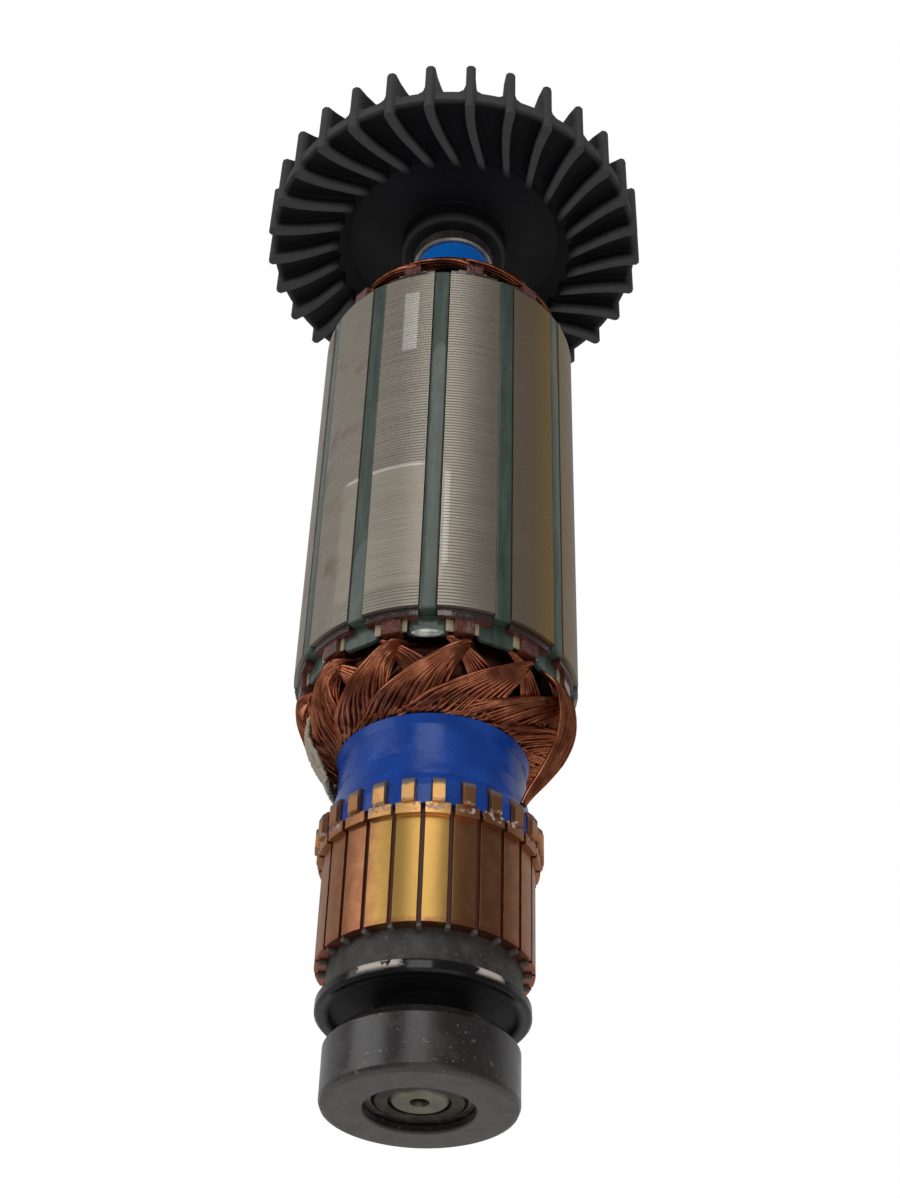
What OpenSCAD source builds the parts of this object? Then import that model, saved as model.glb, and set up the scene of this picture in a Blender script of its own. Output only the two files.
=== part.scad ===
// Wound armature of a small commutator motor, standing on its bearing end.
// Millimetres. The shaft's axis is +Z, and the base plane is the rubber ring's end face.

/* [Bearing] */
// Radius of the rear journal and of the bearing's bore
bearing_bore_r = 3.5; // [3:0.1:4]
// Outer radius of the bearing's outer ring
bearing_outer_r = 9.5; // [9.2:0.1:10]
// Width of the bearing
bearing_width = 6; // [5.6:0.1:7]
// Radius of each ball
ball_r = 1.98; // [1.8:0.01:2.1]
// Number of balls in the bearing
ball_count = 7; // [6:1:8]
// Gap between a ball and its grooves or its pocket
ball_gap = 0.04; // [0.02:0.01:0.08]
// How far each ring's land stands from the balls' pitch circle
land_offset = 1.3; // [1.1:0.05:1.5]
// Thickness of each seal
seal_t = 0.4; // [0.3:0.05:0.45]
// How deep each seal lies below the bearing's face
seal_recess = 0.15; // [0.05:0.05:0.2]
// Gap between a seal's lip and the inner ring
seal_gap = 0.1; // [0.05:0.05:0.2]
// Radial wall of the ball cage
cage_wall = 1.1; // [0.8:0.1:1.4]
// Chamfer on the bearing's edges
bearing_chamfer = 0.3; // [0.1:0.05:0.4]

/* [Rubber ring] */
// Outer radius of the rubber ring
rubber_r = 11; // [10.6:0.1:12]
// Thickness of the ring's end lip
rubber_lip_t = 1; // [0.6:0.1:1.5]
// Radius of the hole in the end lip
rubber_hole_r = 6.2; // [5.9:0.1:7.5]
// How far the ring reaches past the bearing's inner face
rubber_tail = 0.7; // [0.4:0.1:1.2]
// Length of the tapered tail
rubber_taper_l = 1.2; // [0.6:0.1:2]
// How much the tail narrows in radius
rubber_taper_r = 1; // [0.4:0.1:1.1]
// Rounding of the ring's end edge
rubber_round = 0.7; // [0.3:0.1:1]

/* [Shaft] */
// Radius of the shaft under the commutator, the core and the fan
shaft_r = 4.7; // [4.6:0.1:5]
// Radius of the drive bearing's journal
journal_r = 4.5; // [4.2:0.1:4.5]
// Radius of the pinion seat
pinion_r = 4; // [3.7:0.1:4.1]
// Radius of the threaded end
thread_r = 3.5; // [3:0.1:3.6]
// Radius of the undercut before the thread
relief_r = 3; // [2.5:0.1:3]
// Length of the drive journal past the fan
journal_l = 10.2; // [8:0.1:14]
// Length of the pinion seat
pinion_l = 9.5; // [7:0.1:12]
// Length of the undercut before the thread
relief_l = 1; // [0.5:0.1:2]
// Length of the threaded end
thread_l = 5; // [4:0.1:7]
// Chamfer at each end of the shaft
shaft_chamfer = 0.5; // [0.2:0.1:0.8]
// Radius of the centre holes
centre_r = 1.1; // [0.6:0.1:1.6]
// Depth of the centre holes
centre_depth = 2.4; // [1.5:0.1:4]

/* [Insulation washer] */
// Distance from the bearing to the washer's rim
washer_gap = 3.5; // [2.5:0.1:5]
// Outer radius of the washer's rim
washer_r = 12.2; // [11.6:0.1:12.5]
// Height of the rim
washer_h = 1.6; // [1.3:0.1:2.5]
// Radial wall of the rim
washer_wall = 1.6; // [1:0.1:2]
// Thickness of the washer's floor
washer_floor_t = 0.8; // [0.5:0.1:1.1]
// Radial wall of the hub that rests on the bearing
washer_hub_wall = 1.1; // [0.6:0.1:1.6]

/* [Commutator] */
// Outer radius of the moulded body's end
body_r = 11.2; // [10.8:0.1:11.8]
// Length of the moulded end below the bars
body_end_l = 4.1; // [3:0.1:6]
// Outer radius of the brush track
bar_r = 12.6; // [12.3:0.1:13]
// Inner radius of the bars
bar_inner_r = 8.6; // [8:0.1:9.2]
// Length of the brush track
track_l = 13.4; // [10:0.1:18]
// Width of the slot between bars
bar_gap = 0.55; // [0.4:0.05:0.8]
// How far the insulation between bars is cut back
undercut = 0.4; // [0.2:0.1:0.8]
// How far the insulation between bars sticks out at their end
separator_end = 0.4; // [0.1:0.1:1]
// Outer radius of the risers
riser_r = 13.2; // [12.9:0.1:13.4]
// Height of the risers
riser_h = 1.4; // [1:0.1:2.5]
// Width of each hook
hook_w = 1.45; // [1.1:0.05:1.8]
// Height of each hook above its riser
hook_h = 3.3; // [2.6:0.1:4.5]
// Thickness of the hook's bent leg
hook_t = 0.7; // [0.5:0.05:0.8]
// How far the hook stands out past its riser
hook_out = 0.45; // [0.2:0.05:0.8]
// Radial depth of the hook's root
hook_root = 0.9; // [0.6:0.1:1.1]

/* [Resin collar] */
// Radius between the hooks
collar_foot_r = 12.9; // [12.6:0.1:13.2]
// Radius of the waist
collar_waist_r = 11.5; // [11:0.1:12.3]
// Radius of the top edge
collar_top_r = 11.9; // [11.5:0.1:12.6]
// Height of the collar above the risers
collar_h = 13.5; // [11.5:0.1:16]
// Height of the waist's start above the risers
collar_waist_h = 8; // [5.5:0.1:9]
// Height of the flare under the top edge
collar_flare_h = 1.5; // [0.8:0.1:2]
// Play around each hook
hook_play = 0.05; // [0.02:0.01:0.15]
// Outer radius of the insulating sleeve on the shaft
sleeve_r = 5.5; // [5.2:0.1:6]

/* [Core] */
// Distance from the collar to the core
core_gap = 11.1; // [10.9:0.1:13]
// Outer radius of the laminated core
core_r = 18.15; // [17.8:0.05:18.6]
// Length of the laminated core
core_l = 59.9; // [40:0.1:80]
// Width of the teeth between the slots
tooth_w = 2.6; // [2.2:0.1:2.8]
// Radius of the slots' bottoms
slot_bottom_r = 9.6; // [9.3:0.1:9.7]
// Radius of the shelf that the wedges' feet bear on
slot_shelf_r = 16.4; // [16.3:0.1:16.7]
// Width of the slot openings
slot_opening = 2.3; // [2:0.1:2.6]
// Thickness of the slot liners
liner_t = 0.25; // [0.15:0.05:0.3]
// How far the liners stick out of the core
liner_out = 1.8; // [1.3:0.1:2.2]
// Thickness of the end spiders
spider_t = 1.2; // [0.8:0.1:1.3]
// How far the end spiders lie inside the core's outer radius
spider_inset = 0.55; // [0.2:0.05:0.9]
// Height of each spider's posts above its plate
post_h = 2; // [0.8:0.1:2.1]
// Width of each post
post_w = 2.4; // [1.8:0.1:2.5]
// Radial thickness of each post
post_t = 1.6; // [1:0.1:1.8]
// Radial thickness of the wedges' feet
wedge_foot_t = 0.7; // [0.5:0.1:0.8]
// Width of the wedges' feet
wedge_foot_w = 5.1; // [4.4:0.1:5.3]
// Play between each wedge and the slot opening
wedge_play = 0.05; // [0:0.01:0.1]
// How far the wedges stick out at the commutator
wedge_out = 3.2; // [2:0.1:3.4]
// How far the wedges stick out at the fan
wedge_out_fan = 1.9; // [1:0.1:2.4]

/* [Winding] */
// Radius of each bundle where it crosses the end of the core
bundle_r = 1; // [0.8:0.05:1]
// Half width of a bundle in the outer layer of its slot
upper_half_w = 1.9; // [1.5:0.1:2]
// Half height of a bundle in the outer layer of its slot
upper_half_h = 1.3; // [1.1:0.05:1.35]
// Radius of the outer layer's middle line
upper_r = 14.3; // [14.2:0.05:14.35]
// Half height of a bundle in the inner layer of its slot
lower_half_h = 1.35; // [1.1:0.05:1.4]
// Radius of the inner layer's middle line
lower_r = 11.3; // [11.25:0.05:11.4]
// Radius of the bundle of leads beside the collar
lead_r = 0.95; // [0.7:0.05:1.1]

/* [Fan] */
// Free length of sleeve between the core and the fan's collar
sleeve_free_l = 22; // [18:0.1:26]
// Thickness of the steel collar in front of the fan
fan_collar_t = 2.5; // [1.5:0.1:4]
// Outer radius of the steel collar
fan_collar_r = 6.2; // [5.8:0.1:7]
// Outer radius of the blades
fan_r = 29.2; // [27:0.1:31]
// How far the web lies inside the blades' tips
web_inset = 0.6; // [0.3:0.1:2]
// Number of blades
blade_count = 30; // [20:1:32]
// Thickness of each blade at its tip
blade_t = 1.45; // [1:0.05:1.7]
// Thickness of each blade at its inner end
blade_inner_t = 1; // [0.7:0.05:1.3]
// Radius at which the blades start
blade_inner_r = 18.2; // [17.8:0.1:20]
// Sweep of each blade from its tip to its inner end
blade_sweep = 9.3; // [0:0.1:12]
// Height of the blades in front of the web
blade_front_h = 2.1; // [1.4:0.1:3]
// Height of the blades behind the web
blade_back_h = 5.8; // [4:0.1:8]
// Thickness of the web
web_t = 1.8; // [1.2:0.1:2.2]
// Distance from the hub's front face to the web
web_back = 1.7; // [1:0.1:3]
// Depth of the dish around the hub
dish_depth = 2.2; // [1:0.1:3]
// Outer radius of the hub
fan_hub_r = 8.2; // [7.4:0.1:9.5]
// Length of the hub
fan_hub_l = 10.3; // [9.6:0.1:13]
// Width that the fillet adds at each side of a blade's root
root_fillet = 1; // [0.4:0.1:1.2]

/* [Hidden] */
$fn = 96;
// The bars, slots and their nodes are counted, so their numbers are fixed.
BARS = 24;
SLOTS = 12;
bar_pitch = 360 / BARS;
slot_pitch = 360 / SLOTS;
// Angles of the first bar, the first slot and the first blade, and the winding's direction
bar_phase = -86.6;
slot_phase = -94.5;
blade_phase = -87;
wind = -1;
eps = 0.01;

z_bearing = rubber_lip_t;
z_bearing_end = z_bearing + bearing_width;
z_washer = z_bearing_end + washer_gap;
z_body = z_washer + washer_h;
z_bars = z_body + body_end_l;
z_riser = z_bars + track_l;
z_hooks = z_riser + riser_h;
z_collar_end = z_hooks + collar_h;
z_core = z_collar_end + core_gap;
z_core_end = z_core + core_l;
z_sleeve_end = z_core_end + sleeve_free_l;
z_hub = z_sleeve_end + fan_collar_t;
z_web = z_hub + web_back;
z_web_end = z_web + web_t;
z_hub_end = z_hub + fan_hub_l;
z_pinion = z_hub_end + journal_l;
z_relief = z_pinion + pinion_l;
z_thread = z_relief + relief_l;
z_end = z_thread + thread_l;

pitch_r = (bearing_bore_r + bearing_outer_r) / 2;
inner_land_r = pitch_r - land_offset;
outer_land_r = pitch_r + land_offset;
z_balls = z_bearing + bearing_width / 2;
groove_r = ball_r + ball_gap;
seal_depth = seal_recess + seal_t;
seal_seat_r = outer_land_r + 0.5;
cage_half_h = groove_r + 0.28;
hub_r = shaft_r + washer_hub_wall;
hook_r = riser_r + hook_out;
body_top = z_hooks + hook_h + 0.2;
web_r = fan_r - web_inset;
foot_r = slot_shelf_r - wedge_foot_t;

// Copies of a child around the shaft
module around(count, phase) {
  for (k = [0 : count - 1])
    rotate([0, 0, phase + k * 360 / count]) children();
}

// ---------- shaft and sleeve ----------
module shaft() {
  color("darkgray")
  difference() {
    rotate_extrude() polygon([
      [0, z_bearing],
      [bearing_bore_r - shaft_chamfer, z_bearing],
      [bearing_bore_r, z_bearing + shaft_chamfer],
      [bearing_bore_r, z_bearing_end],
      [shaft_r, z_bearing_end],
      [shaft_r, z_hub_end],
      [journal_r, z_hub_end],
      [journal_r, z_pinion - shaft_chamfer],
      [pinion_r, z_pinion],
      [pinion_r, z_relief - shaft_chamfer],
      [relief_r, z_relief],
      [relief_r, z_thread],
      [thread_r, z_thread + shaft_chamfer],
      [thread_r, z_end - shaft_chamfer],
      [thread_r - shaft_chamfer, z_end],
      [0, z_end]
    ]);
    translate([0, 0, z_bearing - eps])
      cylinder(r1 = centre_r, r2 = 0.3, h = centre_depth);
    translate([0, 0, z_end - centre_depth + eps])
      cylinder(r1 = 0.3, r2 = centre_r, h = centre_depth);
  }
}

module shaft_insulation() {
  color("royalblue")
  translate([0, 0, body_top]) difference() {
    cylinder(r = sleeve_r, h = z_sleeve_end - body_top);
    translate([0, 0, -1]) cylinder(r = shaft_r, h = z_sleeve_end - body_top + 2);
  }
}

// ---------- core ----------
// Half width of a slot at distance x from the axis, so that the teeth stay parallel
function slot_half(x) = x * tan(slot_pitch / 2) - tooth_w / (2 * cos(slot_pitch / 2));

// One slot with its walls moved in by a liner's thickness, up to a given radius
module slot_outline(inset, top_r) {
  low = slot_bottom_r + inset;
  polygon([
    [low, -slot_half(low) + inset + 0.35],
    [low + 0.35, -slot_half(low + 0.35) + inset],
    [top_r, -slot_half(top_r) + inset],
    [top_r, slot_half(top_r) - inset],
    [low + 0.35, slot_half(low + 0.35) - inset],
    [low, slot_half(low) - inset - 0.35]
  ]);
}

module lamination(outer_r) {
  difference() {
    circle(r = outer_r);
    circle(r = sleeve_r);
    around(SLOTS, slot_phase) {
      slot_outline(0, slot_shelf_r);
      translate([slot_shelf_r - 1, -slot_opening / 2])
        square([core_r - slot_shelf_r + 2, slot_opening]);
    }
  }
}

module core_stack() {
  color("dimgray")
  translate([0, 0, z_core]) linear_extrude(core_l) lamination(core_r);
}

// Fibre end plate at z_plate with one post on each tooth, from z_post up
module spider(z_plate, z_post) {
  translate([0, 0, z_plate]) linear_extrude(spider_t) lamination(core_r - spider_inset);
  around(SLOTS, slot_phase + slot_pitch / 2)
    translate([core_r - spider_inset - 0.3 - post_t, -post_w / 2, z_post])
      cube([post_t, post_w, spider_t + post_h]);
}

module end_spider_commutator() {
  color("brown") spider(z_core - spider_t, z_core - spider_t - post_h);
}

module end_spider_fan() {
  color("brown") spider(z_core_end, z_core_end);
}

module slot_liners() {
  color("tan")
  translate([0, 0, z_core - liner_out]) linear_extrude(core_l + 2 * liner_out)
    around(SLOTS, slot_phase) difference() {
      slot_outline(0, foot_r);
      slot_outline(liner_t, foot_r + eps);
    }
}

module slot_wedges() {
  color("darkseagreen")
  translate([0, 0, z_core - wedge_out]) linear_extrude(core_l + wedge_out + wedge_out_fan)
    around(SLOTS, slot_phase) union() {
      translate([foot_r, -wedge_foot_w / 2]) square([wedge_foot_t, wedge_foot_w]);
      translate([foot_r, -slot_opening / 2 + wedge_play])
        square([core_r - 0.1 - foot_r, slot_opening - 2 * wedge_play]);
    }
}

// ---------- winding ----------
// Each coil is one closed bundle. It lies in the outer layer of one slot and in the inner layer
// of the slot five pitches away, and crosses both ends of the core. A station is
// [angle from the first slot, radius, height above the core's end face, half width, half height].
coil_span = 5 * slot_pitch;
ur = upper_r;
lr = lower_r;
br = bundle_r;
uw = upper_half_w;
uh = upper_half_h;
lh = lower_half_h;
end_commutator = [
  [0, ur, 0.2, uw, uh],
  [0, ur - 0.1, 2.2, br, br],
  [9, ur + 0.5, 4.25, br, br],
  [28, ur + 2.1, 6.1, br, br],
  [58, ur + 1.9, 8.6, br, br],
  [90, ur - 0.3, 9.9, br, br],
  [120, lr + 0.2, 9.8, br, br],
  [142, lr - 0.9, 8, br, br],
  [coil_span, lr - 0.6, 5.4, br, br],
  [coil_span, lr, 0.2, br, lh]
];
end_fan = [
  [coil_span, lr, 0.2, br, lh],
  [coil_span, lr - 1.2, 4.4, br, br],
  [142, lr - 1.7, 6.9, br, br],
  [120, lr - 0.6, 8.6, br, br],
  [90, ur - 1.1, 8.6, br, br],
  [58, ur + 1.3, 7.4, br, br],
  [28, ur + 1.8, 5, br, br],
  [9, ur + 0.6, 3.4, br, br],
  [0, ur - 0.1, 1.9, br, br],
  [0, ur, 0.2, uw, uh]
];

// A smooth curve through stations p1 and p2, with p0 and p3 on either side
function smooth(p0, p1, p2, p3, t) = 0.5 * (2 * p1 + (p2 - p0) * t
  + (2 * p0 - 5 * p1 + 4 * p2 - p3) * t * t + (3 * p1 - p0 - 3 * p2 + p3) * t * t * t);

function smooth_path(keys, steps) = let (n = len(keys)) [
  for (i = [0 : n - 2], s = [0 : steps - 1])
    smooth(keys[max(i - 1, 0)], keys[i], keys[i + 1], keys[min(i + 2, n - 1)], s / steps),
  keys[n - 1]
];

// Stations become [x, y, z, half width, half height].
function placed(path, slot, z0, dir) = [
  for (s = path) let (a = slot_phase + slot * slot_pitch + wind * s[0])
    [s[1] * cos(a), s[1] * sin(a), z0 + dir * s[2], s[3], s[4]]
];

function coil_stations(slot) = concat(
  placed(smooth_path(end_commutator, 2), slot, z_core, -1),
  placed(smooth_path(end_fan, 2), slot, z_core_end, 1)
);

function xyz(s) = [s[0], s[1], s[2]];
function unit(v) = v / norm(v);

// Corners of the tube's section at station b, between its neighbours a and c
function section(a, b, c, sides) = let (
    t = unit(xyz(c) - xyz(a)),
    out = [b[0], b[1], 0] / norm([b[0], b[1]]),
    up = unit(out - (out * t) * t),
    side = cross(t, up)
  ) [
    for (k = [0 : sides - 1]) let (g = 360 * (k + 0.5) / sides)
      xyz(b) + b[3] / cos(180 / sides) * cos(g) * side + b[4] / cos(180 / sides) * sin(g) * up
  ];

module tube(stations, sides, closed) {
  n = len(stations);
  rings = [for (i = [0 : n - 1]) section(
    stations[closed ? (i + n - 1) % n : max(i - 1, 0)], stations[i],
    stations[closed ? (i + 1) % n : min(i + 1, n - 1)], sides)];
  last = closed ? n - 1 : n - 2;
  walls = [for (i = [0 : last], k = [0 : sides - 1]) let (j = (i + 1) % n, m = (k + 1) % sides)
    [i * sides + k, j * sides + k, j * sides + m, i * sides + m]];
  caps = closed ? [] : [
    [for (k = [0 : sides - 1]) k],
    [for (k = [0 : sides - 1]) n * sides - 1 - k]
  ];
  polyhedron(points = [for (r = rings, p = r) p], faces = concat(walls, caps), convexity = 8);
}

module coil(slot) {
  color("chocolate") tube(coil_stations(slot), 8, true);
}

module coil_01() { coil(0); }
module coil_02() { coil(1); }
module coil_03() { coil(2); }
module coil_04() { coil(3); }
module coil_05() { coil(4); }
module coil_06() { coil(5); }
module coil_07() { coil(6); }
module coil_08() { coil(7); }
module coil_09() { coil(8); }
module coil_10() { coil(9); }
module coil_11() { coil(10); }
module coil_12() { coil(11); }

// The leads run down beside the collar, from the winding to the hooks.
lead_angle = -26;
lead_keys = [
  [3, collar_top_r + lead_r + 1.4, z_collar_end - 0.2, lead_r, lead_r],
  [0, collar_top_r + lead_r + 1.1, z_collar_end - 1.4, lead_r, lead_r],
  [-4, collar_top_r + lead_r + 0.3, z_collar_end - 4, lead_r, lead_r],
  [-8, collar_waist_r + lead_r + 0.5, z_hooks + 6.4, lead_r, lead_r],
  [-11, hook_r + lead_r * 0.2, z_hooks + hook_h + lead_r + 0.3, lead_r * 0.8, lead_r * 0.8]
];

module lead_bundle() {
  color("chocolate") tube([
    for (s = smooth_path(lead_keys, 2)) let (a = lead_angle + s[0])
      [s[1] * cos(a), s[1] * sin(a), s[2], s[3], s[4]]
  ], 8, false);
}

// ---------- commutator ----------
// One copper bar with its riser and its bent hook, centred on the +X axis
module commutator_bar(index) {
  flat = bar_pitch / 2;
  color("peru") rotate([0, 0, bar_phase + index * bar_pitch]) {
    translate([0, 0, z_bars]) linear_extrude(track_l) bar_section(bar_r, flat);
    translate([0, 0, z_riser]) linear_extrude(riser_h) bar_section(riser_r, flat);
    translate([0, hook_w / 2, 0]) rotate([90, 0, 0]) linear_extrude(hook_w) polygon([
      [bar_r - hook_root, z_hooks - eps],
      [bar_r - hook_root, z_hooks + hook_h - 0.6],
      [bar_r - hook_root + 0.6, z_hooks + hook_h],
      [hook_r - 0.6, z_hooks + hook_h],
      [hook_r, z_hooks + hook_h - 0.6],
      [hook_r, z_hooks + 0.2],
      [hook_r - 0.2, z_hooks],
      [hook_r - hook_t, z_hooks],
      [hook_r - hook_t, z_hooks + hook_h - hook_t],
      [bar_r, z_hooks + hook_h - hook_t],
      [bar_r, z_hooks - eps]
    ]);
  }
}

// Section of one bar: a ring sector whose flanks are parallel to its neighbours' slots
module bar_section(outer_r, flat) {
  gap = bar_gap / 2;
  reach = outer_r + 2;
  start = gap / sin(flat);
  intersection() {
    difference() {
      circle(r = outer_r);
      circle(r = bar_inner_r);
    }
    polygon([
      [start, 0],
      [start + reach * cos(flat), -reach * sin(flat)],
      [start + reach * cos(flat), reach * sin(flat)]
    ]);
  }
}

module bar_01() { commutator_bar(0); }
module bar_02() { commutator_bar(1); }
module bar_03() { commutator_bar(2); }
module bar_04() { commutator_bar(3); }
module bar_05() { commutator_bar(4); }
module bar_06() { commutator_bar(5); }
module bar_07() { commutator_bar(6); }
module bar_08() { commutator_bar(7); }
module bar_09() { commutator_bar(8); }
module bar_10() { commutator_bar(9); }
module bar_11() { commutator_bar(10); }
module bar_12() { commutator_bar(11); }
module bar_13() { commutator_bar(12); }
module bar_14() { commutator_bar(13); }
module bar_15() { commutator_bar(14); }
module bar_16() { commutator_bar(15); }
module bar_17() { commutator_bar(16); }
module bar_18() { commutator_bar(17); }
module bar_19() { commutator_bar(18); }
module bar_20() { commutator_bar(19); }
module bar_21() { commutator_bar(20); }
module bar_22() { commutator_bar(21); }
module bar_23() { commutator_bar(22); }
module bar_24() { commutator_bar(23); }

// The moulded body carries the bars, with one thin wall in each slot between them.
module commutator_body() {
  color("darkslategray") union() {
    rotate_extrude() polygon([
      [shaft_r, z_body],
      [body_r - 0.2, z_body],
      [body_r, z_body + 0.2],
      [body_r, z_bars],
      [bar_inner_r, z_bars],
      [bar_inner_r, body_top],
      [shaft_r, body_top]
    ]);
    around(BARS, bar_phase + bar_pitch / 2)
      translate([bar_inner_r - 0.2, -bar_gap / 2, z_bars - separator_end])
        cube([bar_r - undercut - bar_inner_r + 0.2, bar_gap, z_hooks - z_bars + separator_end]);
  }
}

module resin_collar() {
  color("mediumblue") difference() {
    rotate_extrude() polygon([
      [bar_inner_r, z_hooks],
      [collar_foot_r, z_hooks],
      [collar_foot_r, z_hooks + hook_h - 0.8],
      [collar_foot_r - 0.25, z_hooks + hook_h + 0.2],
      [collar_foot_r - 0.7, z_hooks + hook_h + 1.2],
      [collar_waist_r + 0.3, z_hooks + collar_waist_h - 1.6],
      [collar_waist_r, z_hooks + collar_waist_h],
      [collar_waist_r, z_collar_end - collar_flare_h],
      [collar_top_r, z_collar_end - 0.4],
      [collar_top_r - 0.4, z_collar_end],
      [sleeve_r, z_collar_end],
      [sleeve_r, body_top],
      [bar_inner_r, body_top]
    ]);
    around(BARS, bar_phase)
      translate([bar_r - hook_root - hook_play, -hook_w / 2 - hook_play, z_hooks - 1])
        cube([hook_r, hook_w + 2 * hook_play, hook_h + hook_play + 1]);
  }
}

// ---------- washer and bearing ----------
module insulation_washer() {
  color("black") rotate_extrude() polygon([
    [shaft_r, z_bearing_end],
    [hub_r, z_bearing_end],
    [hub_r, z_body - washer_floor_t],
    [washer_r - washer_wall, z_body - washer_floor_t],
    [washer_r - washer_wall, z_washer + 0.2],
    [washer_r - washer_wall + 0.2, z_washer],
    [washer_r - 0.3, z_washer],
    [washer_r, z_washer + 0.3],
    [washer_r, z_body - 0.3],
    [washer_r - 0.3, z_body],
    [shaft_r, z_body]
  ]);
}

module groove() {
  translate([0, 0, z_balls]) rotate_extrude() translate([pitch_r, 0]) circle(r = groove_r);
}

module bearing_inner_ring() {
  c = bearing_chamfer;
  color("silver") difference() {
    rotate_extrude() polygon([
      [bearing_bore_r, z_bearing],
      [inner_land_r - c, z_bearing],
      [inner_land_r, z_bearing + c],
      [inner_land_r, z_bearing_end - c],
      [inner_land_r - c, z_bearing_end],
      [bearing_bore_r, z_bearing_end]
    ]);
    groove();
  }
}

module bearing_outer_ring() {
  c = bearing_chamfer;
  color("silver") difference() {
    rotate_extrude() polygon([
      [seal_seat_r, z_bearing],
      [bearing_outer_r - c, z_bearing],
      [bearing_outer_r, z_bearing + c],
      [bearing_outer_r, z_bearing_end - c],
      [bearing_outer_r - c, z_bearing_end],
      [seal_seat_r, z_bearing_end],
      [seal_seat_r, z_bearing_end - seal_depth],
      [outer_land_r, z_bearing_end - seal_depth],
      [outer_land_r, z_bearing + seal_depth],
      [seal_seat_r, z_bearing + seal_depth]
    ]);
    groove();
  }
}

module bearing_balls() {
  color("gainsboro") around(ball_count, 0)
    translate([pitch_r, 0, z_balls]) sphere(r = ball_r);
}

module bearing_cage() {
  color("gray") difference() {
    translate([0, 0, z_balls - cage_half_h]) cylinder(r = pitch_r + cage_wall / 2, h = 2 * cage_half_h);
    translate([0, 0, z_balls - cage_half_h - 1])
      cylinder(r = pitch_r - cage_wall / 2, h = 2 * cage_half_h + 2);
    around(ball_count, 0) translate([pitch_r, 0, z_balls]) sphere(r = groove_r);
  }
}

module seal(z0) {
  color("saddlebrown") translate([0, 0, z0]) difference() {
    cylinder(r = seal_seat_r, h = seal_t);
    translate([0, 0, -1]) cylinder(r = inner_land_r + seal_gap, h = seal_t + 2);
  }
}

module bearing_seal_rear() { seal(z_bearing + seal_recess); }
module bearing_seal_front() { seal(z_bearing_end - seal_depth); }

module rubber_ring() {
  top = z_bearing_end + rubber_tail;
  color("black") rotate_extrude() polygon([
    [rubber_hole_r, 0.15],
    [rubber_hole_r + 0.15, 0],
    [rubber_r - rubber_round, 0],
    [rubber_r - 0.3 * rubber_round, 0.3 * rubber_round],
    [rubber_r, rubber_round],
    [rubber_r, top - rubber_taper_l],
    [rubber_r - rubber_taper_r, top],
    [bearing_outer_r, top],
    [bearing_outer_r, z_bearing],
    [rubber_hole_r, z_bearing]
  ]);
}

// ---------- fan ----------
// Angle of a blade's middle line at radius r: swept, and straight out at the tip
function blade_angle(r) = blade_sweep * pow((fan_r - r) / (fan_r - blade_inner_r), 2);
function blade_half(r) = (blade_inner_t + (blade_t - blade_inner_t)
  * (r - blade_inner_r) / (fan_r - blade_inner_r)) / 2;

// Outline of one blade seen along the shaft
module blade_outline() {
  radii = [for (k = [0 : 6]) fan_r - 0.4 - (fan_r - 0.4 - blade_inner_r) * k / 6];
  left = [for (r = radii) let (a = blade_angle(r), w = blade_half(r))
    [r * cos(a) - w * sin(a), r * sin(a) + w * cos(a)]];
  right = [for (k = [6 : -1 : 0]) let (r = radii[k], a = blade_angle(r), w = blade_half(r))
    [r * cos(a) + w * sin(a), r * sin(a) - w * cos(a)]];
  polygon(concat(left, right, [[fan_r, -blade_t / 2 + 0.4], [fan_r, blade_t / 2 - 0.4]]));
}

// Fillet that joins the outer part of a blade to the back of the web
module blade_root() {
  half = blade_t / 2 - 0.1;
  translate([fan_r - 5, 0, z_web_end - 0.2]) rotate([90, 0, 90]) linear_extrude(5 - web_inset) polygon([
    [-half - root_fillet, 0],
    [half + root_fillet, 0],
    [half + root_fillet, 0.2],
    [half + 0.4 * root_fillet, 0.2 + 0.5 * root_fillet],
    [half, 0.2 + 2 * root_fillet],
    [-half, 0.2 + 2 * root_fillet],
    [-half - 0.4 * root_fillet, 0.2 + 0.5 * root_fillet],
    [-half - root_fillet, 0.2]
  ]);
}

module fan() {
  dish_r = blade_inner_r - 1.8;
  color("dimgray") union() {
    rotate_extrude() polygon([
      [shaft_r, z_hub],
      [fan_hub_r - 0.3, z_hub],
      [fan_hub_r, z_hub + 0.3],
      [fan_hub_r, z_web + dish_depth],
      [dish_r, z_web + dish_depth],
      [dish_r + dish_depth, z_web],
      [web_r, z_web],
      [web_r, z_web_end],
      [dish_r + dish_depth + 0.8, z_web_end],
      [dish_r + 0.8, z_web_end + dish_depth],
      [fan_hub_r, z_web_end + dish_depth],
      [fan_hub_r, z_hub_end - 0.3],
      [fan_hub_r - 0.3, z_hub_end],
      [shaft_r, z_hub_end]
    ]);
    translate([0, 0, z_web - blade_front_h])
      linear_extrude(blade_front_h + web_t + blade_back_h)
        around(blade_count, blade_phase) blade_outline();
    around(blade_count, blade_phase) blade_root();
  }
}

module fan_collar() {
  color("silver") rotate_extrude() polygon([
    [shaft_r, z_sleeve_end],
    [fan_collar_r - 0.3, z_sleeve_end],
    [fan_collar_r, z_sleeve_end + 0.3],
    [fan_collar_r, z_hub - 0.3],
    [fan_collar_r - 0.3, z_hub],
    [shaft_r, z_hub]
  ]);
}

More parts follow.
